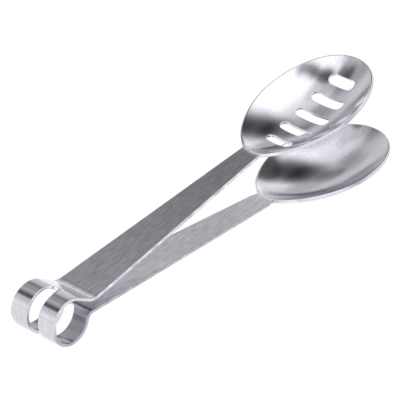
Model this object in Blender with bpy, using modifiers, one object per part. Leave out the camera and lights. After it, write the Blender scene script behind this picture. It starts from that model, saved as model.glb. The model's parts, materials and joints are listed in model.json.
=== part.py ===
"""Spring tongs for squeezing a tea bag, modelled in metres with +Z up.

One tapering strip of brushed steel sheet is bent round into a springy loop, and each
end of it is pressed into a shallow bowl. The strip is divided across into the loop's
two bands, two necks, two arms and two bowls, with a hair-thin gap at each division.
The tongs point along +X and lie on the loop and the lower bowl. The origin is the
middle of the footprint, on that floor. The upper half squeezes shut about the loop's
axis, which runs along +Y.
"""
import math

import bmesh
import bpy
from mathutils import Matrix, Vector

MM = 0.001

# The sheet, and the gap between neighbouring divisions of the strip
SHEET = 1.1 * MM
DIVISION_GAP = 0.3 * MM

# The loop, and the slot that splits it into two bands
LOOP_DIAMETER = 16.5 * MM
LOOP_WIDTH = 20.5 * MM
SLOT_WIDTH = 5.2 * MM
SLOT_END_ARC = math.radians(18.0)

# The necks, where the strip leaves the loop and turns into the flat arms
CREASE_BEYOND_LOOP = 3.05 * MM
CREASE_RADIUS = 2.4 * MM
LOWER_BEND_RADIUS = 3.1 * MM
NECK_TAIL = 3.0 * MM

# The arms. When the tongs are shut, each lies this far from the loop's axis.
ARM_OFFSET = 0.8 * MM
ARM_TIP_WIDTH = 8.1 * MM
UPPER_ARM_LENGTH = 84.2 * MM
LOWER_ARM_LENGTH = 89.2 * MM
OPENING = math.radians(11.2)

# The bowls, egg-shaped from above, measured from where they are widest
BOWL_FRONT = 26.4 * MM
BOWL_REAR = 28.1 * MM
BOWL_WIDTH = 38.2 * MM
BOWL_DEPTH = 7.3 * MM
BOWL_OVERLAP = 1.9 * MM
BOWL_TAB = 4.0 * MM
RIM_RISE = 1.4 * MM
BOWL_TILT = math.radians(2.65)
FRONT_EXPONENT = 2.08
REAR_EXPONENT = 1.72
DEPTH_EXPONENT = 2.2

# The drain slots across the upper bowl, whose ends lie on an ellipse
DRAIN_COUNT = 5
DRAIN_WIDTH = 3.6 * MM
DRAIN_SHIFT = 1.3 * MM
drain_length_share = 0.9
drain_width_share = 0.39

# Lightness and roughness of the steel, by the stretch of the strip
BAND_FINISH = (0.62, 0.28)
NECK_FINISH = (0.5, 0.3)
UPPER_ARM_FINISH = (0.24, 0.34)
LOWER_ARM_FINISH = (0.42, 0.34)
BOWL_FINISH = (0.45, 0.26)
BLUE_TINT = 1.03

# How finely round shapes are divided, and places are found
ARC_STEP = math.radians(6.0)
BOWL_RINGS = 9
BOWL_SECTORS = 57
TAB_SECTORS = 7
CUTTER_SIDES = 28
WELD = 0.001 * MM
HALVINGS = 40

# Sizes that follow from those above
loop_radius = LOOP_DIAMETER / 2
middle_radius = loop_radius - SHEET / 2
crease_reach = loop_radius + CREASE_BEYOND_LOOP
bowl_length = BOWL_FRONT + BOWL_REAR - BOWL_OVERLAP
half_gap = DIVISION_GAP / 2


def turned(x, z, angle):
    """A point of the XZ plane, turned about the origin from +X towards +Z."""
    return Vector((x * math.cos(angle) - z * math.sin(angle),
                   x * math.sin(angle) + z * math.cos(angle)))


def arc(centre, radius, start, end):
    """Points along an arc in the XZ plane, both ends included."""
    steps = math.ceil(abs(end - start) / ARC_STEP)
    return [centre + turned(radius, 0, start + (end - start) * i / steps)
            for i in range(steps + 1)]


# The strip's middle line, seen from the side with the loop's axis at the origin.
# Each half starts at the loop's back and ends where its arm meets its bowl.

def upper_line(pitch):
    """Over the loop, down the straight neck, round the crease and along the arm."""
    corner = turned(crease_reach, ARM_OFFSET, pitch)
    leaving = math.atan2(corner.y, corner.x) + math.acos(middle_radius / corner.length)
    neck_pitch = leaving - math.pi / 2
    turn = pitch - neck_pitch
    set_back = CREASE_RADIUS * math.tan(turn / 2)
    bend_end = corner + turned(set_back, 0, pitch)
    bend_centre = bend_end + turned(0, CREASE_RADIUS, pitch)
    bowl_start = corner + turned(UPPER_ARM_LENGTH, 0, pitch)
    line = arc(Vector((0, 0)), middle_radius, math.pi, leaving)
    line += arc(bend_centre, CREASE_RADIUS, neck_pitch - math.pi / 2, pitch - math.pi / 2)
    return line + [bowl_start], leaving


def lower_line(pitch):
    """Under the loop, up its front, over the bend and along the arm."""
    across = middle_radius + LOWER_BEND_RADIUS
    down = ARM_OFFSET + LOWER_BEND_RADIUS
    bend_centre = turned(math.sqrt(across ** 2 - down ** 2), -down, pitch)
    leaving = math.atan2(bend_centre.y, bend_centre.x)
    arm_start = bend_centre + turned(0, LOWER_BEND_RADIUS, pitch)
    bowl_start = arm_start + turned(LOWER_ARM_LENGTH, 0, pitch)
    line = arc(Vector((0, 0)), middle_radius, -math.pi, leaving)
    line += arc(bend_centre, LOWER_BEND_RADIUS, leaving + math.pi, pitch + math.pi / 2)
    return line + [bowl_start], leaving


def lengths_along(line):
    """Distance of each point of a line from its first one."""
    lengths = [0.0]
    for before, after in zip(line, line[1:]):
        lengths.append(lengths[-1] + (after - before).length)
    return lengths


def stretch(line, start, end):
    """The points of a line between two distances along it, each with its distance."""
    lengths = lengths_along(line)
    stations = []
    for before, after, low, high in zip(line, line[1:], lengths, lengths[1:]):
        if high - low < WELD or high < start or low > end:
            continue
        for distance in (max(low, start), min(high, end)):
            if not stations or distance - stations[-1][1] > WELD:
                point = before.lerp(after, (distance - low) / (high - low))
                stations.append((point, distance))
    return stations


def strip_width(distance, whole):
    """The strip is widest at the loop's back and tapers evenly to the bowls."""
    return LOOP_WIDTH + (ARM_TIP_WIDTH - LOOP_WIDTH) * distance / whole


# The bowl, in its own frame: the arm's end at the origin, the bowl's axis along +X

def rim_point(angle):
    """A point of the egg-shaped rim, as seen from above."""
    ahead, aside = math.cos(angle), math.sin(angle)
    exponent = FRONT_EXPONENT if ahead > 0 else REAR_EXPONENT
    half_length = BOWL_FRONT if ahead > 0 else BOWL_REAR
    reach = (abs(ahead) ** exponent + abs(aside) ** exponent) ** (-1 / exponent)
    return reach * ahead * half_length, reach * aside * BOWL_WIDTH / 2


def dish_point(share, angle):
    """A point of the dish, a share of the way from its middle to the rim."""
    x, y = rim_point(angle)
    x, y = share * x + BOWL_REAR - BOWL_OVERLAP, share * y
    z = RIM_RISE * (x / bowl_length) ** 2 - BOWL_DEPTH * (1 - share ** DEPTH_EXPONENT)
    return x, y, z


def bowl_underside(pitch):
    """Height of the lower bowl's lowest point against the loop's axis."""
    line, _ = lower_line(pitch)
    lowest = 0.0
    for ring in range(BOWL_RINGS + 1):
        x, _, z = dish_point(ring / BOWL_RINGS, math.pi)
        lowest = min(lowest, turned(x, z, pitch + BOWL_TILT).y)
    return line[-1].y + lowest - SHEET / 2


def resting_pitch():
    """The lower arm's pitch at which its bowl and the loop stand on one floor."""
    low, high = -OPENING, OPENING
    for _ in range(HALVINGS):
        middle = (low + high) / 2
        if bowl_underside(middle) > -loop_radius:
            high = middle
        else:
            low = middle
    return (low + high) / 2


# Objects and materials

def collection(name):
    """A new collection in the scene."""
    made = bpy.data.collections.new(name)
    bpy.context.scene.collection.children.link(made)
    return made


def steel(name, finish):
    """Brushed stainless steel of a given lightness and roughness."""
    tone, roughness = finish
    made = bpy.data.materials.new(name)
    made.use_nodes = True
    shader = made.node_tree.nodes["Principled BSDF"]
    shader.inputs["Base Color"].default_value = (tone, tone, tone * BLUE_TINT, 1.0)
    shader.inputs["Metallic"].default_value = 1.0
    shader.inputs["Roughness"].default_value = roughness
    return made


def grid(rows):
    """A surface through rows of points."""
    surface = bmesh.new()
    last_row, last_column = len(rows) - 1, len(rows[0]) - 1
    bmesh.ops.create_grid(surface, x_segments=last_row, y_segments=last_column, size=1)
    for vert in surface.verts:
        row = round((vert.co.x + 1) / 2 * last_row)
        column = round((vert.co.y + 1) / 2 * last_column)
        vert.co = rows[row][column]
    return surface


def sheet_object(name, surface, finish, carrier):
    """An object of the sheet's thickness, half to each side of a surface."""
    for face in surface.faces:
        face.smooth = True
    for edge in surface.edges:
        edge.smooth = not edge.is_boundary
    mesh = bpy.data.meshes.new(name)
    surface.to_mesh(mesh)
    surface.free()
    made = bpy.data.objects.new(name, mesh)
    tongs.objects.link(made)
    made.data.materials.append(steel(name + "_steel", finish))
    made.parent = carrier
    thickness = made.modifiers.new("sheet", "SOLIDIFY")
    thickness.thickness = SHEET
    thickness.offset = 0.0
    thickness.use_even_offset = True
    return made


def round_cutter(name, width, length, depth, place, tilt):
    """A bar with round ends along Y, which cuts a slot through the sheet."""
    shape = bmesh.new()
    half_side = math.pi / CUTTER_SIDES
    radius = width / 2 / math.cos(half_side)
    bmesh.ops.create_cone(shape, cap_ends=True, segments=CUTTER_SIDES,
                          radius1=radius, radius2=radius, depth=depth,
                          matrix=Matrix.Rotation(half_side, 4, "Z"))
    for vert in shape.verts:
        vert.co.y += math.copysign((length - width) / 2, vert.co.y)
    mesh = bpy.data.meshes.new(name)
    shape.to_mesh(mesh)
    shape.free()
    made = bpy.data.objects.new(name, mesh)
    made.matrix_local = Matrix.Translation(place) @ Matrix.Rotation(-tilt, 4, "Y")
    made.hide_render = True
    made.display_type = "WIRE"
    cutters.objects.link(made)
    return made


def cut(target, cutter):
    """Takes a cutter's shape out of an object that has the same parent."""
    cutter.parent = target.parent
    hole = target.modifiers.new(cutter.name, "BOOLEAN")
    hole.operation = "DIFFERENCE"
    hole.solver = "EXACT"
    hole.object = cutter


# The strip's parts

def across(stations, whole, inner=None):
    """Rows of two points, one at each side of the strip or of one of its bands."""
    rows = []
    for point, distance in stations:
        outer = strip_width(distance, whole) / 2
        other = -outer if inner is None else inner
        rows.append([Vector((point.x, other, point.y)), Vector((point.x, outer, point.y))])
    return rows


def flat_or_bent(name, line, start, end, finish, carrier):
    """A full-width stretch of the strip."""
    whole = lengths_along(line)[-1]
    surface = grid(across(stretch(line, start + half_gap, end - half_gap), whole))
    return sheet_object(name, surface, finish, carrier)


def notch(neck, angle):
    """The round end of the loop's slot, cut into a neck about the given angle."""
    place = turned(middle_radius, 0, angle)
    cutter = round_cutter(neck.name + "_notch", SLOT_WIDTH, SLOT_WIDTH, SLOT_WIDTH,
                          Vector((place.x, 0, place.y)), angle - math.pi / 2)
    cut(neck, cutter)


def band(name, side):
    """One of the loop's two bands, from neck to neck round the loop's back."""
    inner = SLOT_WIDTH / 2
    over = across(stretch(upper, 0, upper_band_end - half_gap), upper_end, inner)
    under = across(stretch(lower, 0, lower_band_end - half_gap), lower_end, inner)
    rows = over[:0:-1] + under
    for row in rows:
        for point in row:
            point.y *= side
    return sheet_object(name, grid(rows), BAND_FINISH, loop_axis)


def bowl(name, line, pitch, carrier):
    """A dished egg shape whose rear rim runs out into the arm's last stretch."""
    whole = lengths_along(line)[-1]
    neck_share = ARM_TIP_WIDTH / BOWL_WIDTH
    behind = (1 - neck_share ** REAR_EXPONENT) ** (1 / REAR_EXPONENT)
    corner = math.atan2(neck_share, -behind)
    front = [corner * (2 * i / BOWL_SECTORS - 1) for i in range(BOWL_SECTORS + 1)]
    rear_arc = 2 * (math.pi - corner)
    rear = [corner + rear_arc * i / TAB_SECTORS for i in range(1, TAB_SECTORS + 1)]
    rows = [[Vector(dish_point(ring / BOWL_RINGS, angle)) for angle in front + rear]
            for ring in range(BOWL_RINGS + 1)]
    surface = grid(rows)
    bmesh.ops.remove_doubles(surface, verts=surface.verts, dist=WELD)

    arm_end = Matrix.Translation((line[-1].x, 0, line[-1].y))
    tilt = Matrix.Rotation(-pitch - BOWL_TILT, 4, "Y")
    half_width = ARM_TIP_WIDTH / 2 + WELD
    rim = [edge for edge in surface.edges if edge.is_boundary
           and all(abs(v.co.y) < half_width and v.co.x < BOWL_OVERLAP for v in edge.verts)]
    bmesh.ops.transform(surface, matrix=arm_end @ tilt, verts=surface.verts)
    tab = bmesh.ops.extrude_edge_only(surface, edges=rim)
    tab_length = BOWL_TAB - half_gap
    widening = strip_width(whole - tab_length, whole) / ARM_TIP_WIDTH
    end = line[-1] - turned(tab_length, 0, pitch)
    for vert in tab["geom"]:
        if isinstance(vert, bmesh.types.BMVert):
            vert.co = (end.x, vert.co.y * widening, end.y)
    return sheet_object(name, surface, BOWL_FINISH, carrier)


def drain_slots(target, arm_end, tilt):
    """Round-ended slots across the upper bowl, the longest in its middle."""
    field_length = (BOWL_FRONT + BOWL_REAR) * drain_length_share
    field_width = BOWL_WIDTH * drain_width_share
    pitch = field_length / (DRAIN_COUNT + 1)
    for number in range(DRAIN_COUNT):
        from_middle = (number - (DRAIN_COUNT - 1) / 2) * pitch
        length = field_width * math.sqrt(1 - (2 * from_middle / field_length) ** 2)
        ahead = from_middle + DRAIN_SHIFT
        half_length = BOWL_FRONT if ahead > 0 else BOWL_REAR
        x, _, z = dish_point(abs(ahead) / half_length, 0 if ahead > 0 else math.pi)
        place = arm_end + turned(x, z, tilt)
        cutter = round_cutter(f"drain_{number + 1}", DRAIN_WIDTH, length, BOWL_DEPTH,
                              Vector((place.x, 0, place.y)), tilt)
        cut(target, cutter)


def axis_empty(name):
    """An empty on the loop's axis."""
    made = bpy.data.objects.new(name, None)
    made.empty_display_size = loop_radius
    tongs.objects.link(made)
    return made


def stand_on_floor():
    """Moves the tongs so that the origin is the middle of their footprint."""
    bpy.context.view_layer.update()
    depsgraph = bpy.context.evaluated_depsgraph_get()
    corners = []
    for piece in tongs.objects:
        if piece.type == "MESH":
            solid = piece.evaluated_get(depsgraph)
            corners += [solid.matrix_world @ Vector(corner) for corner in solid.bound_box]
    front, back = max(c.x for c in corners), min(c.x for c in corners)
    floor = min(c.z for c in corners)
    loop_axis.location = (-(front + back) / 2, 0, -floor)
    squeeze_axis.location = loop_axis.location


for item in list(bpy.data.objects):
    bpy.data.objects.remove(item, do_unlink=True)

tongs = collection("tea_bag_tongs")
cutters = collection("cutters")
loop_axis = axis_empty("loop_axis")
squeeze_axis = axis_empty("squeeze_axis")

lower_pitch = resting_pitch()
upper_pitch = lower_pitch + OPENING
upper, upper_leaving = upper_line(upper_pitch)
lower, lower_leaving = lower_line(lower_pitch)
upper_end = lengths_along(upper)[-1]
lower_end = lengths_along(lower)[-1]

# Distances from the loop's back at which the strip is divided
upper_slot_end = upper_leaving + SLOT_END_ARC
upper_band_end = middle_radius * (math.pi - upper_slot_end)
lower_band_end = middle_radius * (math.pi + lower_leaving)
upper_neck_end = upper_end - UPPER_ARM_LENGTH + NECK_TAIL
lower_neck_end = lower_end - LOWER_ARM_LENGTH + NECK_TAIL

# The loop's bands
band("left_spring_band", 1)
band("right_spring_band", -1)

# The lower half
lower_neck = flat_or_bent("lower_neck", lower, lower_band_end, lower_neck_end,
                          NECK_FINISH, loop_axis)
notch(lower_neck, lower_leaving)
flat_or_bent("lower_arm", lower, lower_neck_end, lower_end - BOWL_TAB,
             LOWER_ARM_FINISH, loop_axis)
bowl("lower_bowl", lower, lower_pitch, loop_axis)

# The upper half, which turns about the loop's axis
upper_neck = flat_or_bent("upper_neck", upper, upper_band_end, upper_neck_end,
                          NECK_FINISH, squeeze_axis)
notch(upper_neck, upper_slot_end)
flat_or_bent("upper_arm", upper, upper_neck_end, upper_end - BOWL_TAB,
             UPPER_ARM_FINISH, squeeze_axis)
upper_bowl = bowl("upper_bowl", upper, upper_pitch, squeeze_axis)
drain_slots(upper_bowl, upper[-1], upper_pitch + BOWL_TILT)

stand_on_floor()
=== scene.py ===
import json
import math

import bmesh
import bpy
from mathutils import Matrix, Vector


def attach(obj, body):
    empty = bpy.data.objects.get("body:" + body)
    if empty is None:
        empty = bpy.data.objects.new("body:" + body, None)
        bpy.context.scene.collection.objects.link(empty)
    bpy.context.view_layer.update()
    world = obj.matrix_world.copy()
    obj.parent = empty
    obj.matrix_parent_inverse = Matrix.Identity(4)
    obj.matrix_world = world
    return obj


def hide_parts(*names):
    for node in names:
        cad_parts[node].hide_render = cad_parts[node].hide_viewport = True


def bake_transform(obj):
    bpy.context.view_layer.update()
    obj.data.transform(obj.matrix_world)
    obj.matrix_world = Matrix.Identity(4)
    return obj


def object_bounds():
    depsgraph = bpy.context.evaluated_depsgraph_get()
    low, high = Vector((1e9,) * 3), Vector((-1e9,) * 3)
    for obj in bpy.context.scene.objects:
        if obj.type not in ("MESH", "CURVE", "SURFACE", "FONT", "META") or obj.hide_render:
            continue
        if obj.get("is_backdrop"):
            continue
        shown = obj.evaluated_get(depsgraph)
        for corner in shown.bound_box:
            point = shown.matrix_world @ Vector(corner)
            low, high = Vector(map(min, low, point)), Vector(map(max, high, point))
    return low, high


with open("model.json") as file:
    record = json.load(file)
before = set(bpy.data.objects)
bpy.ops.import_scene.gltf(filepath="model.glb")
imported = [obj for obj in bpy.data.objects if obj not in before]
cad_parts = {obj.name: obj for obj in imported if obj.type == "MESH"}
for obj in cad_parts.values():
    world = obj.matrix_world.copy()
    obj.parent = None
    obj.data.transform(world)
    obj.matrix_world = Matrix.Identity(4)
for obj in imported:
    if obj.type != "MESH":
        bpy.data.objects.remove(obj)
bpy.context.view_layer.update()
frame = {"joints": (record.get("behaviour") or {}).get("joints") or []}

# THE SPRING LOOP
# The middle of one long strip of stainless sheet, bent round into the spring that holds
# the tongs open. A slot with round ends is punched along it before it is bent, which
# leaves two bands, and a sharper bend at each end turns the strip out into its arms.
MM = 0.001
SHEET = 1.1 * MM
LOOP_RADIUS = 7.7 * MM
LOOP_WIDTH = 20.5 * MM
LOOP_SLOT = 5.2 * MM
LOOP_SLOT_PAST_NECK = math.radians(18.0)
CREASE_FROM_AXIS = 11.0 * MM
CREASE_RADIUS = 7.0 * MM
LOWER_BEND_RADIUS = 3.1 * MM
LOOP_TAIL = 3.0 * MM
ARM_OFFSET = 0.8 * MM
ARM_TIP_WIDTH = 8.1 * MM
UPPER_ARM_LENGTH = 84.5 * MM
LOWER_ARM_LENGTH = 89.2 * MM
LOWER_PITCH = math.radians(-0.468)
UPPER_PITCH = LOWER_PITCH + math.radians(11.2)
EDGE_ROUND = 0.2 * MM
EDGE_STEPS = 3
LOOP_STEP = 0.45 * MM
LOOP_COLUMNS = 22
ROUND_STEPS = 16
WELD = 0.001 * MM
SMALL_STEP = 0.02 * MM
LEVEL_NORMAL = 0.99
SLANTED_NORMAL = 0.5
hinge = Vector(frame["joints"][0]["pos_m"])

# The bowls' sizes are here because the function that bends the strip needs them too
BOWL_FRONT = 26.4 * MM
BOWL_REAR = 28.1 * MM
BOWL_WIDTH = 38.2 * MM
BOWL_DEPTH = 7.3 * MM
BOWL_OVERLAP = 1.9 * MM
BOWL_RISE = 1.4 * MM
BOWL_TILT = math.radians(2.65)
FRONT_EXPONENT = 2.08
REAR_EXPONENT = 1.72
DEPTH_EXPONENT = 2.2
EGG_SHAPED_FROM = 0.5
TILT_EASE = 1.5 * MM
ROLL_HEIGHT = 0.9 * MM
ROLL_WIDTH = ARM_TIP_WIDTH * 1.3


def turned(x, z, angle):
    """A step in the side view, turned from +X towards +Z."""
    return Vector((x * math.cos(angle) - z * math.sin(angle),
                   x * math.sin(angle) + z * math.cos(angle)))


def smooth_share(value, low, high):
    """From 0 at low to 1 at high, without corners."""
    share = min(1.0, max(0.0, (value - low) / (high - low)))
    return share * share * (3 - 2 * share)


def upper_way():
    """Heading at the loop's back, and the length and turn of each stretch from there to
    the upper bowl."""
    corner = turned(CREASE_FROM_AXIS, ARM_OFFSET, UPPER_PITCH)
    leaving = math.atan2(corner.y, corner.x) + math.acos(LOOP_RADIUS / corner.length)
    turn = UPPER_PITCH - (leaving - math.pi / 2)
    set_back = CREASE_RADIUS * math.tan(turn / 2)
    neck = math.sqrt(corner.length_squared - LOOP_RADIUS ** 2) - set_back
    round_loop = math.pi - leaving
    return math.pi / 2, [(LOOP_RADIUS * round_loop, -round_loop), (neck, 0.0),
                         (CREASE_RADIUS * turn, turn), (UPPER_ARM_LENGTH - set_back, 0.0)]


def lower_way():
    """The same for the lower half, which the loop passes under and up to."""
    across, down = LOOP_RADIUS + LOWER_BEND_RADIUS, ARM_OFFSET + LOWER_BEND_RADIUS
    centre = turned(math.sqrt(across ** 2 - down ** 2), -down, LOWER_PITCH)
    leaving = math.atan2(centre.y, centre.x)
    round_loop = math.pi + leaving
    turn = leaving + math.pi / 2 - LOWER_PITCH
    return -math.pi / 2, [(LOOP_RADIUS * round_loop, round_loop),
                          (LOWER_BEND_RADIUS * turn, -turn), (LOWER_ARM_LENGTH, 0.0)]


def travel(way, distance):
    """Place and heading on a bent line, and how far past its arm's end that is."""
    heading, stretches = way
    place = Vector((-LOOP_RADIUS, 0.0))
    for number, (length, turn) in enumerate(stretches):
        last = number == len(stretches) - 1
        part = distance if last else min(distance, length)
        distance -= part
        if turn:
            swept, radius = turn * part / length, length / turn
            place += turned(0, -radius, heading + swept) - turned(0, -radius, heading)
            heading += swept
        else:
            place += turned(part, 0, heading)
        if last:
            return place, heading, part - length
    return place, heading, 0.0


def bowl_share(x, y):
    """Nought in the bowl's middle and one on its egg-shaped rim."""
    ahead = x - BOWL_REAR + BOWL_OVERLAP
    half, power = (BOWL_FRONT, FRONT_EXPONENT) if ahead > 0 else (BOWL_REAR, REAR_EXPONENT)
    far, wide = abs(ahead) / half, abs(y) / (BOWL_WIDTH / 2)
    egg = (far ** power + wide ** power) ** (1 / power)
    oval = math.hypot(far, wide)
    return oval + (egg - oval) * smooth_share(egg, EGG_SHAPED_FROM, 1.0)


def pressed(x, y):
    """How the press moves the flat sheet, x past the arm's end and y from the middle."""
    share = bowl_share(x, y)
    depth = BOWL_DEPTH * (1 - share ** DEPTH_EXPONENT)
    near_arm = 1 - smooth_share(abs(y), ARM_TIP_WIDTH / 2, ROLL_WIDTH)
    roll = ROLL_HEIGHT * near_arm * (1 - smooth_share(x, BOWL_OVERLAP, BOWL_REAR / 2))
    if abs(depth) < roll:
        depth = (depth + roll) ** 2 / (4 * roll)
    depth = max(depth, 0.0)
    ahead = (x + math.hypot(x, TILT_EASE)) / 2
    height = BOWL_RISE * (ahead / (BOWL_FRONT + BOWL_REAR - BOWL_OVERLAP)) ** 2 - depth
    return turned(ahead, height, BOWL_TILT) - Vector((ahead, 0))


def middle_of_sheet(u, v):
    """Where a place on the flat strip goes when it is bent. The loop's back is at u 0,
    the upper half at positive u and the lower half at negative u."""
    place, heading, beyond = travel(upper if u >= 0 else lower, abs(u))
    if beyond > -BOWL_REAR / 2:
        move = pressed(beyond, v)
        place += turned(move.x, move.y, heading)
    return hinge + Vector((place.x, v, place.y))


def bent(flat, flat_normal):
    """A point and normal of the flat sheet, after bending."""
    u, v, t = flat
    along = middle_of_sheet(u + SMALL_STEP, v) - middle_of_sheet(u - SMALL_STEP, v)
    aside = middle_of_sheet(u, v + SMALL_STEP) - middle_of_sheet(u, v - SMALL_STEP)
    out = along.cross(aside).normalized()
    along.normalize()
    aside = out.cross(along)
    normal = along * flat_normal.x + aside * flat_normal.y + out * flat_normal.z
    return middle_of_sheet(u, v) + out * t, normal


upper, lower = upper_way(), lower_way()
upper_round, lower_round = (stretches[0][0] for _, stretches in (upper, lower))
upper_end, lower_end = (sum(length for length, _ in stretches)
                        for _, stretches in (upper, lower))
upper_seam = upper_end - UPPER_ARM_LENGTH + LOOP_TAIL
lower_seam = lower_end - LOWER_ARM_LENGTH + LOOP_TAIL


def half_width(u):
    """Half the strip's width, which tapers from the loop's back to the bowls."""
    share = abs(u) / (upper_end if u >= 0 else lower_end)
    return (LOOP_WIDTH + (ARM_TIP_WIDTH - LOOP_WIDTH) * share) / 2


def add_patch(sheet, rows):
    """A flat grid through rows of places on the strip."""
    last_row, last_column = len(rows) - 1, len(rows[0]) - 1
    made = bmesh.ops.create_grid(sheet, x_segments=last_row, y_segments=last_column, size=1)
    for vert in made["verts"]:
        row = round((vert.co.x + 1) / 2 * last_row)
        column = round((vert.co.y + 1) / 2 * last_column)
        vert.co = (*rows[row][column], 0)


def flat_sheet(patches, seams):
    """Sheet made of flat patches, its cut edges rounded, but not those at its seams."""
    sheet = bmesh.new()
    for rows in patches:
        add_patch(sheet, rows)
    bmesh.ops.remove_doubles(sheet, verts=sheet.verts, dist=WELD)
    bmesh.ops.recalc_face_normals(sheet, faces=sheet.faces)
    bmesh.ops.solidify(sheet, geom=sheet.faces[:], thickness=SHEET)
    low = min(vert.co.z for vert in sheet.verts)
    bmesh.ops.translate(sheet, verts=sheet.verts, vec=(0, 0, -SHEET / 2 - low))
    bmesh.ops.recalc_face_normals(sheet, faces=sheet.faces)
    rim = []
    for edge in sheet.edges:
        tilts = sorted(abs(face.normal.z) for face in edge.link_faces)
        on_seam = any(all(abs(v.co.x - seam) < WELD for v in edge.verts) for seam in seams)
        if len(tilts) == 2 and tilts[0] < SLANTED_NORMAL < tilts[1] and not on_seam:
            rim.append(edge)
    bmesh.ops.bevel(sheet, geom=rim, offset=EDGE_ROUND, offset_type="OFFSET",
                    segments=EDGE_STEPS, profile=0.5, affect="EDGES", material=-1)
    mesh = bpy.data.meshes.new("flat_sheet")
    sheet.to_mesh(mesh)
    sheet.free()
    return mesh


def slot_cutter(centre, length, width, lengthwise):
    """A punch with round ends. It widens at both faces, to leave the slot's edges round."""
    bite = [(SHEET / 2 - EDGE_ROUND * (1 - math.sin(a)), EDGE_ROUND * (1 - math.cos(a)))
            for a in (0, math.pi / 6, math.pi / 3)]
    bite.append((SHEET - bite[-1][0], 2 * EDGE_ROUND - bite[-1][1]))
    levels = [(-height, grow) for height, grow in reversed(bite)] + bite
    reach = (length - width) / 2
    steps = math.ceil(2 * reach / LOOP_STEP)
    outline = []
    for side in (1, -1):
        outline += [(math.pi * (i / ROUND_STEPS - side / 2), side * reach)
                    for i in range(ROUND_STEPS + 1)]
        outline += [(side * math.pi / 2, side * reach * (1 - 2 * i / steps))
                    for i in range(1, steps)]
    outline.append(outline[0])
    punch = bmesh.new()
    bmesh.ops.create_grid(punch, x_segments=len(levels) - 1, y_segments=len(outline) - 1,
                          size=1)
    for vert in punch.verts:
        height, grow = levels[round((vert.co.x + 1) / 2 * (len(levels) - 1))]
        angle, shift = outline[round((vert.co.y + 1) / 2 * (len(outline) - 1))]
        step = turned(width / 2 + grow, 0, angle) + Vector((shift, 0))
        if not lengthwise:
            step = step.yx
        vert.co = (centre.x + step.x, centre.y + step.y, height)
    bmesh.ops.remove_doubles(punch, verts=punch.verts, dist=WELD)
    open_edges = [edge for edge in punch.edges if edge.is_boundary]
    bmesh.ops.holes_fill(punch, edges=open_edges, sides=0)
    bmesh.ops.recalc_face_normals(punch, faces=punch.faces)
    mesh = bpy.data.meshes.new("punch")
    punch.to_mesh(mesh)
    punch.free()
    made = bpy.data.objects.new("punch", mesh)
    bpy.context.scene.collection.objects.link(made)
    return made


def punched(sheet, punches):
    """The flat sheet with its slots cut out. The punches are thrown away."""
    blank = bpy.data.objects.new("blank", sheet)
    bpy.context.scene.collection.objects.link(blank)
    for punch in punches:
        cut = blank.modifiers.new("slot", "BOOLEAN")
        cut.operation, cut.solver, cut.object = "DIFFERENCE", "EXACT", punch
    bpy.context.view_layer.update()
    finished = blank.evaluated_get(bpy.context.evaluated_depsgraph_get())
    mesh = bpy.data.meshes.new_from_object(finished)
    for item in (blank, *punches):
        bpy.data.objects.remove(item, do_unlink=True)
    return mesh


# Painted light and shade on the strip's long cut edges: a lighter tone along the upper
# half's edges and a darker one along the lower half's, fading out into the bowls
UPPER_EDGE_PAINTED_TONE = 0.7
LOWER_EDGE_PAINTED_TONE = 0.46
EDGE_FADE = 3.0 * MM
SLOT_REACH = LOOP_SLOT * 0.6


def painted_edge_share(u, v):
    """How far a place on a cut edge lies on one of the strip's long edges, which get a
    painted tone of their own that stands in for how light falls on their sides, and that
    much of the tone. The slots' edges have none of it."""
    share = 0.0
    if abs(v) > SLOT_REACH:
        share = (smooth_share(lower_end + u, -EDGE_FADE, EDGE_FADE)
                 * smooth_share(upper_end - u, -EDGE_FADE, EDGE_FADE))
    on_upper = smooth_share(u, -EDGE_FADE, EDGE_FADE)
    tone = UPPER_EDGE_PAINTED_TONE * on_upper + LOWER_EDGE_PAINTED_TONE * (1 - on_upper)
    return [share, share * tone, 0.0]


def bent_piece(name, sheet, seams):
    """Bends a flat sheet into a piece. For its finish, the piece keeps each point's place
    on the flat strip, and which points lie on the long cut edges that get painted light and
    shade."""
    shape = bmesh.new()
    shape.from_mesh(sheet)
    shape.normal_update()
    hidden = {face for face in shape.faces for seam in seams
              if all(abs(vert.co.x - seam) < WELD for vert in face.verts)}
    flat_places, flat_normals, sheared = [], [], []
    for vert in shape.verts:
        shown = [face for face in vert.link_faces if face not in hidden]
        flats = [round(face.normal.z) for face in shown
                 if abs(face.normal.z) > LEVEL_NORMAL]
        flat_places.append(vert.co.copy())
        if flats:
            sheared += [0.0, 0.0, 0.0]
            flat_normals.append(Vector((0, 0, flats[0])))
        else:
            sheared += painted_edge_share(vert.co.x, vert.co.y)
            flat_normals.append(sum((face.normal * face.calc_area() for face in shown),
                                    Vector()).normalized())
    normals = []
    for vert, flat_normal in zip(shape.verts, flat_normals):
        vert.co, normal = bent(vert.co, flat_normal)
        normals.append(normal)
    mesh = bpy.data.meshes.new(name)
    shape.to_mesh(mesh)
    shape.free()
    mesh.shade_smooth()
    mesh.normals_split_custom_set_from_vertices(normals)
    strip = mesh.attributes.new("strip", "FLOAT_VECTOR", "POINT")
    strip.data.foreach_set("vector", [c for place in flat_places for c in place])
    edges = mesh.attributes.new("sheared", "FLOAT_VECTOR", "POINT")
    edges.data.foreach_set("vector", sheared)
    made = bpy.data.objects.new(name, mesh)
    bpy.context.scene.collection.objects.link(made)
    return made


def strip_rows(start, end, step, columns):
    """Rows across the strip between two places along it."""
    count = max(1, math.ceil((end - start) / step))
    rows = []
    for row in range(count + 1):
        u = start + (end - start) * row / count
        wide = half_width(u)
        rows.append([(u, wide * (2 * column / columns - 1))
                     for column in range(columns + 1)])
    return rows


STEEL_TINT = (0.99, 0.98, 1.05)
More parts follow.
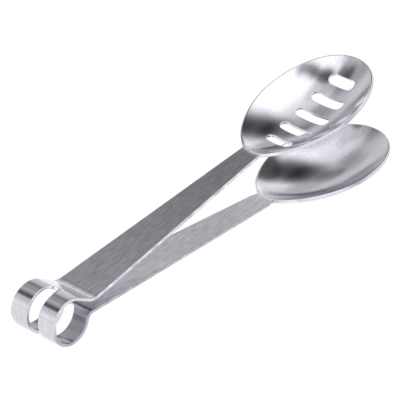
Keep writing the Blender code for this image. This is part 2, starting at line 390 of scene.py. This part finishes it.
# How fine each pattern is per metre along, across and through the sheet
FINE_BRUSHING = (330, 6200, 900)
COARSE_BRUSHING = (230, 3300, 300)
SATIN_SPECKS = (2600, 2600, 2600)
CLOUDS = (70, 110, 70)
NOISE_DETAIL = 2.0
SOFT_NOISE = 0.5
CRISP_NOISE = 0.6
FINE_SHARE = 0.4
SATIN_SHARE = 0.28
TONE_SPREAD = 1.8
CLOUD_SPREAD = 0.12
GLOSS_SPREAD = 0.12
CLOUD_GLOSS_SPREAD = 0.05
GRAIN_DEPTH = 0.004 * MM
STRIP_UPPER_END = upper_end + BOWL_FRONT + BOWL_REAR
STRIP_LOWER_END = lower_end + BOWL_FRONT + BOWL_REAR
upper_corner = upper_end - UPPER_ARM_LENGTH
# A place along the strip, then how bright, how rough and how brushed the steel is there,
# and how much of its brightness the side that faces the other half keeps. How bright it is
# carries painted light: painted highlights at the crease and where the bowls' rims roll
# into the arms, and painted shade that keeps the upper arm darker than the lower one. The
# share that the facing side keeps is painted shade too.
FINISH_AND_PAINTED_LIGHT = ((-lower_end - 4 * MM, 0.7, 0.155, 0.12, 1.0),
          # painted highlight where the lower bowl's rim rolls into the arm
          (-lower_end - 1.5 * MM, 0.9, 0.2, 0.4, 1.0),
          (-lower_end + 1 * MM, 0.9, 0.22, 0.6, 1.0),
          (-lower_end + 3 * MM, 0.79, 0.25, 0.8, 1.0),
          (-lower_end + 20 * MM, 0.71, 0.25, 1.0, 1.0),
          (-lower_seam, 0.82, 0.25, 1.0, 0.96),
          (-lower_round, 0.66, 0.15, 0.5, 0.74),
          (upper_round - 3.4 * MM, 0.66, 0.15, 0.5, 0.74),
          (upper_round - 1.8 * MM, 0.76, 0.15, 0.5, 0.74),
          (upper_corner - 3 * MM, 0.77, 0.15, 0.5, 0.74),
          # painted highlight along the crease
          (upper_corner - 1.6 * MM, 0.95, 0.16, 0.6, 0.74),
          (upper_corner - 0.6 * MM, 0.9, 0.18, 0.7, 0.74),
          (upper_corner + 0.5 * MM, 0.66, 0.22, 0.9, 0.74),
          (upper_corner + 1.5 * MM, 0.6, 0.25, 1.0, 0.74),
          # painted shade, darkening the upper arm towards its bowl
          (upper_end - 52 * MM, 0.52, 0.25, 1.0, 0.8),
          (upper_end - 28 * MM, 0.46, 0.25, 1.0, 0.85),
          (upper_end - 3 * MM, 0.42, 0.25, 1.0, 0.9),
          # painted highlight where the upper bowl's rim rolls into the arm
          (upper_end - 1 * MM, 0.9, 0.22, 0.6, 1.0),
          (upper_end + 1.5 * MM, 0.9, 0.2, 0.4, 1.0),
          (upper_end + 4 * MM, 0.7, 0.155, 0.12, 1.0))
FINISH_AND_PAINTED_LIGHT_STOPS = [((u + STRIP_LOWER_END) / (STRIP_LOWER_END + STRIP_UPPER_END), finish)
                for u, *finish in FINISH_AND_PAINTED_LIGHT]


class Signal:
    """A value or vector in a material. Python's signs add Math nodes to it."""

    def __init__(self, tree, socket):
        self.tree, self.socket = tree, socket

    def node(self, kind, settings=(), inputs=(), output=0):
        """Any node, its settings made first and its sockets filled or linked next."""
        made = self.tree.nodes.new(kind)
        for name, value in dict(settings).items():
            if name == "stops":
                for place, colour in value[2:]:
                    made.color_ramp.elements.new(place)
                for element, (place, colour) in zip(made.color_ramp.elements, value):
                    element.position, element.color = place, colour
            else:
                setattr(made, name, value)
        for name, value in dict(inputs).items():
            if isinstance(value, Signal):
                self.tree.links.new(value.socket, made.inputs[name])
            else:
                made.inputs[name].default_value = value
        return Signal(self.tree, made.outputs[output])

    def math(self, operation, first, second=0.0):
        """A Math node on one or two values."""
        return self.node("ShaderNodeMath", {"operation": operation}, {0: first, 1: second})

    def __add__(self, other):
        return self.math("ADD", self, other)

    def __radd__(self, other):
        return self.math("ADD", other, self)

    def __sub__(self, other):
        return self.math("SUBTRACT", self, other)

    def __rsub__(self, other):
        return self.math("SUBTRACT", other, self)

    def __mul__(self, other):
        return self.math("MULTIPLY", self, other)

    def __rmul__(self, other):
        return self.math("MULTIPLY", other, self)

    def __truediv__(self, other):
        return self.math("DIVIDE", self, other)

    def __rtruediv__(self, other):
        return self.math("DIVIDE", other, self)

    def stretched(self, amounts):
        """A vector multiplied by another, part by part."""
        return self.node("ShaderNodeVectorMath", {"operation": "MULTIPLY"},
                         {0: self, 1: amounts})

    def noise(self, roughness):
        """Noise on this vector, on both sides of nought."""
        return self.node("ShaderNodeTexNoise", (),
                         {"Vector": self, "Scale": 1.0, "Detail": NOISE_DETAIL,
                          "Roughness": roughness}) - 0.5


def steel(name):
    """Stainless sheet. Its finish follows its place on the strip, so it runs on through the
    seams: satin in the bowls, brushed lengthwise on the arms, bright on the loop. Its
    brightness along the strip also carries painted highlights and painted shade."""
    made = bpy.data.materials.new(name)
    made.use_nodes = True
    tree = made.node_tree
    shader = tree.nodes["Principled BSDF"]
    start = Signal(tree, None)
    strip = start.node("ShaderNodeAttribute", {"attribute_name": "strip"}, (), 1)
    along, depth = (strip.node("ShaderNodeSeparateXYZ", (), {0: strip}, i) for i in (0, 2))
    share = (along + STRIP_LOWER_END) / (STRIP_LOWER_END + STRIP_UPPER_END)
    finish = share.node("ShaderNodeValToRGB", {"stops": FINISH_AND_PAINTED_LIGHT_STOPS}, {0: share})
    # Painted shade: the side that faces the other half keeps only a share of its
    # brightness, darkest in the loop
    inner_painted_shade = share.node("ShaderNodeValToRGB", {"stops": FINISH_AND_PAINTED_LIGHT_STOPS}, {0: share}, 1)
    inner_side_shade = start.node("ShaderNodeMapRange", (),
                         {"Value": depth, "From Min": -SHEET / 2, "From Max": -SHEET / 4,
                          "To Min": inner_painted_shade, "To Max": 1.0})
    tone, gloss, brushing = (finish.node("ShaderNodeSeparateColor", (), {0: finish}, i)
                             for i in range(3))
    fine = strip.stretched(FINE_BRUSHING).noise(CRISP_NOISE)
    coarse = strip.stretched(COARSE_BRUSHING).noise(SOFT_NOISE)
    speck = strip.stretched(SATIN_SPECKS).noise(CRISP_NOISE)
    cloud = strip.stretched(CLOUDS).noise(SOFT_NOISE)
    brushed = (fine * FINE_SHARE + coarse * (1 - FINE_SHARE)) * brushing
    grain = brushed + speck * (1 - brushing) * SATIN_SHARE
    # On the long cut edges the painted edge tone takes the place of the strip's own
    sheared = start.node("ShaderNodeAttribute", {"attribute_name": "sheared"}, (), 1)
    on_edge, edge_painted_tone = (strip.node("ShaderNodeSeparateXYZ", (), {0: sheared}, i)
                          for i in (0, 1))
    shine = tone * inner_side_shade * (1 - on_edge) + edge_painted_tone
    shine = shine * (1 + grain * TONE_SPREAD + cloud * CLOUD_SPREAD)
    colour = start.node("ShaderNodeCombineColor", (),
                        {part: shine * tint for part, tint in enumerate(STEEL_TINT)})
    tree.links.new(colour.socket, shader.inputs["Base Color"])
    rough = gloss + grain * GLOSS_SPREAD + cloud * CLOUD_GLOSS_SPREAD
    tree.links.new(rough.socket, shader.inputs["Roughness"])
    bump = start.node("ShaderNodeBump", (),
                      {"Strength": 1.0, "Distance": GRAIN_DEPTH, "Height": grain})
    tree.links.new(bump.socket, shader.inputs["Normal"])
    shader.inputs["Metallic"].default_value = 1.0
    return made


def dress(piece, finish, slot, *nodes):
    """Gives a piece its finish and hides the nodes that it stands for. The slot is not
    used.
    """
    piece.data.materials.append(finish)
    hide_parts(*nodes)


slot_low = -lower_round
slot_high = upper_round - LOOP_RADIUS * LOOP_SLOT_PAST_NECK
loop_slot = slot_cutter(Vector(((slot_low + slot_high) / 2, 0)),
                        slot_high - slot_low + LOOP_SLOT, LOOP_SLOT, True)
loop_ends = (-lower_seam, upper_seam)
loop_rows = strip_rows(*loop_ends, LOOP_STEP, LOOP_COLUMNS)
spring_loop = bent_piece("spring_loop", punched(flat_sheet([loop_rows], loop_ends),
                                                [loop_slot]), loop_ends)
dress(spring_loop, steel("loop_steel"), "bent_steel",
      "left_spring_band", "right_spring_band", "upper_neck", "lower_neck")
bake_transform(spring_loop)

# THE UPPER ARM
# A flat, tapering stretch of the strip, brushed along its length. It is pressed by the
# thumb, and runs on without a joint into the bowl at one end and the loop at the other.
ARM_STEP = 4.0 * MM
ARM_COLUMNS = 12
BOWL_TAB = 4.0 * MM

upper_arm_ends = (upper_seam, upper_end - BOWL_TAB)
upper_arm_rows = strip_rows(*upper_arm_ends, ARM_STEP, ARM_COLUMNS)
upper_arm = bent_piece("upper_arm_strip", flat_sheet([upper_arm_rows], upper_arm_ends),
                       upper_arm_ends)
dress(upper_arm, steel("upper_arm_steel"), "brushed_steel_upper", "upper_arm")
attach(upper_arm, "upper_half")

# THE LOWER ARM
# The same flat, brushed stretch of the strip below, a little longer and almost level. The
# fingers press it from under, and it carries the bowl that the other one settles into.
lower_arm_ends = (BOWL_TAB - lower_end, -lower_seam)
lower_arm_rows = strip_rows(*lower_arm_ends, ARM_STEP, ARM_COLUMNS)
lower_arm = bent_piece("lower_arm_strip", flat_sheet([lower_arm_rows], lower_arm_ends),
                       lower_arm_ends)
dress(lower_arm, steel("lower_arm_steel"), "brushed_steel_lower", "lower_arm")
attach(lower_arm, "lower_half")

# THE LOWER BOWL
# The strip's end, cut to an egg shape and pressed into a shallow dish, hollow side up.
# Its rear rim rolls over into the arm, and a small fillet joins their edges.
BOWL_RINGS = 28
RING_CROWDING = 1.3
BOWL_SECTORS = 96
CHORD_HALF_WIDTH = 9.0 * MM
CHORD_SECTORS = 26
TAB_ROWS = 26
JUNCTION_FILLET = 1.6 * MM
FILLET_FADES_FROM = BOWL_REAR * 0.9
FILLET_FADES_TO = BOWL_REAR + 2 * MM


def rim_place(angle):
    """A place on the egg-shaped rim, from the bowl's widest point."""
    ahead, aside = math.cos(angle), math.sin(angle)
    half, power = (BOWL_FRONT, FRONT_EXPONENT) if ahead > 0 else (BOWL_REAR, REAR_EXPONENT)
    reach = (abs(ahead) ** power + abs(aside) ** power) ** (-1 / power)
    return reach * ahead * half, reach * aside * BOWL_WIDTH / 2


def edge_behind(x, u):
    """Half the sheet's width behind the bowl, where its rim runs into the arm's edge."""
    share = min(1.0, -x / BOWL_REAR)
    rim = (1 - share ** REAR_EXPONENT) ** (1 / REAR_EXPONENT) * BOWL_WIDTH / 2
    arm = half_width(u)
    fillet = JUNCTION_FILLET * (1 - smooth_share(-x, FILLET_FADES_FROM, FILLET_FADES_TO))
    return (rim + arm + math.hypot(rim - arm, fillet)) / 2


def bowl_patches(end, sign):
    """Rings from the bowl's middle to its rim and a chord, and rows from there on."""
    chord = -BOWL_REAR * (1 - (2 * CHORD_HALF_WIDTH / BOWL_WIDTH) ** REAR_EXPONENT) ** (
        1 / REAR_EXPONENT)
    middle = end + BOWL_REAR - BOWL_OVERLAP
    wide = edge_behind(chord, middle + chord)
    corner = math.atan2(2 * CHORD_HALF_WIDTH / BOWL_WIDTH, chord / BOWL_REAR)
    rim = [rim_place(corner * (2 * i / BOWL_SECTORS - 1)) for i in range(1, BOWL_SECTORS)]
    rim = [(chord, -wide)] + rim
    rim += [(chord, wide * (1 - 2 * i / CHORD_SECTORS)) for i in range(CHORD_SECTORS + 1)]
    rings = []
    for ring in range(BOWL_RINGS + 1):
        share = 1 - (1 - ring / BOWL_RINGS) ** RING_CROWDING
        rings.append([(sign * (middle + share * x), share * y) for x, y in rim])
    tab = []
    for row in range(TAB_ROWS + 1):
        x = chord + (BOWL_OVERLAP - BOWL_REAR - BOWL_TAB - chord) * row / TAB_ROWS
        wide = edge_behind(x, middle + x)
        tab.append([(sign * (middle + x), wide * (1 - 2 * i / CHORD_SECTORS))
                    for i in range(CHORD_SECTORS + 1)])
    return [rings, tab]


def bowl_piece(name, end, sign, punches=()):
    """A bowl, with slots if it has punches."""
    seams = (sign * (end - BOWL_TAB),)
    sheet = flat_sheet(bowl_patches(end, sign), seams)
    return bent_piece(name, punched(sheet, punches), seams)


lower_bowl = bowl_piece("lower_bowl_dish", lower_end, -1)
dress(lower_bowl, steel("lower_bowl_steel"), "satin_steel", "lower_bowl")
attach(lower_bowl, "lower_half")

# THE UPPER BOWL
# The same dish at the upper arm's end, with five slots punched across it that let the
# tea run out. It settles into the lower bowl when the tongs are squeezed.
DRAIN_COUNT = 5
DRAIN_WIDTH = 3.6 * MM
DRAIN_SHIFT = 1.3 * MM
DRAIN_FIELD_LENGTH = (BOWL_FRONT + BOWL_REAR) * 0.9
DRAIN_FIELD_WIDTH = BOWL_WIDTH * 0.39

drain_pitch = DRAIN_FIELD_LENGTH / (DRAIN_COUNT + 1)
drains = []
for number in range(DRAIN_COUNT):
    from_middle = (number - (DRAIN_COUNT - 1) / 2) * drain_pitch
    length = DRAIN_FIELD_WIDTH * math.sqrt(1 - (2 * from_middle / DRAIN_FIELD_LENGTH) ** 2)
    ahead = from_middle + DRAIN_SHIFT + BOWL_REAR - BOWL_OVERLAP
    drains.append(slot_cutter(Vector((upper_end + ahead, 0)), length, DRAIN_WIDTH, False))
upper_bowl = bowl_piece("upper_bowl_dish", upper_end, 1, drains)
dress(upper_bowl, steel("upper_bowl_steel"), "satin_steel", "upper_bowl")
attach(upper_bowl, "upper_half")

# THE FLOOR AND THE LIGHT
# A plain white table, lit a little from inside so that it takes hardly any shadow, in a
# white studio. Dark cards with soft edges stand and hang round the table, which gives the
# steel its soft dark bands.
FLOOR_SIZE = 8.0
FLOOR_COLOUR = (0.1, 0.1, 0.1, 1)
FLOOR_ROUGHNESS = 0.9
FLOOR_GLOW = 0.92
STUDIO_TINT = (0.985, 0.985, 1.0, 1)
# How bright the studio is level with the table, and how bright from 30 degrees up
HORIZON = 0.93
OVERHEAD = 1.56
OVERHEAD_FROM = math.radians(30)
# Where each card is round the table and how high, half its size, its soft edge, all in
# degrees, and how dark it is
CARDS = ((7, 48, 4, 19, 0.91), (27, 49, 3, 18, 0.82), (-8, 23, 14, 11, 0.92),
         (-6, 46, 2, 6, 0.3), (17, 31, 2, 6, 0.35), (26, 20, 6, 10, 0.16),
         (39, 26, 3, 8, 0.26), (-127, 64.5, 3, 5, 0.78), (-147, 67.5, 2.5, 4.5, 0.9),
         (-166, 70, 3, 4, 0.97), (168, 69.5, 3, 4, 0.97), (152, 66, 4, 4, 0.97),
         (141, 63, 3, 4, 0.97), (128, 51, 2, 6, 0.75), (118, 43, 2.5, 6.5, 0.82),
         (106, 47, 2, 8, 0.4), (123, 50, 1, 14, 0.5), (119, 63, 3, 6, 0.35),
         (125, 76, 4, 8, 0.35), (140, 42, 4, 7, 0.36), (152, 51, 3, 6, 0.12),
         (116, 27, 1, 25, 0.52), (146, 33, 9, 4, 0.4), (74, 16, 34, 20, 0.36),
         (53, 39, 5, 5, 0.58), (74, 50, 4, 8, 0.32), (70, 37, 4, 7, 0.25),
         (68, 53, 14, 28, 0.36), (-62, 22, 9, 12, 0.62), (-134, 30, 12, 14, 0.66))

floor_shape = bmesh.new()
bmesh.ops.create_grid(floor_shape, x_segments=1, y_segments=1, size=FLOOR_SIZE)
floor_mesh = bpy.data.meshes.new("floor")
floor_shape.to_mesh(floor_mesh)
floor_shape.free()
floor = bpy.data.objects.new("floor", floor_mesh)
bpy.context.scene.collection.objects.link(floor)
table = bpy.data.materials.new("white_table")
table.use_nodes = True
table_shader = table.node_tree.nodes["Principled BSDF"]
table_shader.inputs["Base Color"].default_value = FLOOR_COLOUR
table_shader.inputs["Roughness"].default_value = FLOOR_ROUGHNESS
table_shader.inputs["Emission Color"].default_value = (1, 1, 1, 1)
table_shader.inputs["Emission Strength"].default_value = FLOOR_GLOW
floor.data.materials.append(table)
floor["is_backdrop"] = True

studio = bpy.data.worlds.new("studio")
bpy.context.scene.world = studio
studio.use_nodes = True
way_out = Signal(studio.node_tree, None).node("ShaderNodeTexCoord")
up = way_out.node("ShaderNodeSeparateXYZ", (), {0: way_out}, 2)
strength = up.node("ShaderNodeMapRange", (),
                   {"Value": up.math("ARCSINE", up), "From Max": OVERHEAD_FROM,
                    "To Min": HORIZON, "To Max": OVERHEAD})
for round_table, high, half_size, soft_edge, darkness in CARDS:
    facing = (Matrix.Rotation(math.radians(round_table), 3, "Z")
              @ Matrix.Rotation(math.radians(-high), 3, "Y") @ Vector((1, 0, 0)))
    towards = way_out.node("ShaderNodeVectorMath", {"operation": "DOT_PRODUCT"},
                           {0: way_out, 1: facing}, 1)
    card = towards.node("ShaderNodeMapRange", {"interpolation_type": "SMOOTHSTEP"},
                        {"Value": towards,
                         "From Min": math.cos(math.radians(half_size + soft_edge)),
                         "From Max": math.cos(math.radians(half_size)),
                         "To Min": 1.0, "To Max": 1.0 - darkness})
    strength = strength * card
background = studio.node_tree.nodes["Background"]
background.inputs["Color"].default_value = STUDIO_TINT
studio.node_tree.links.new(strength.socket, background.inputs["Strength"])
bpy.context.scene.view_settings.view_transform = "Standard"

# THE CAMERA
# A long lens, far off behind the loop's right side, that looks down along the tongs and is
# turned a little, so that they lie across the picture from its lower left corner.
VIEW_TARGET = Vector((-4.209, 0.0, 19.26)) * MM
VIEW_DISTANCE = 1100 * MM
VIEW_AZIMUTH = math.radians(-42.688)
VIEW_ELEVATION = math.radians(29.814)
VIEW_ROLL = math.radians(-4.042)
VIEW_LENS = 300.98
NEAREST_SEEN = 0.1
FARTHEST_SEEN = 30.0

camera = bpy.data.objects.new("camera", bpy.data.cameras.new("camera"))
bpy.context.scene.collection.objects.link(camera)
turn = (Matrix.Rotation(VIEW_AZIMUTH, 4, "Z")
        @ Matrix.Rotation(math.pi / 2 - VIEW_ELEVATION, 4, "X")
        @ Matrix.Rotation(VIEW_ROLL, 4, "Z"))
camera.matrix_world = (Matrix.Translation(VIEW_TARGET) @ turn
                       @ Matrix.Translation((0, 0, VIEW_DISTANCE)))
camera.data.lens = VIEW_LENS
camera.data.clip_start, camera.data.clip_end = NEAREST_SEEN, FARTHEST_SEEN
bpy.context.scene.camera = camera

low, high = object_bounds()
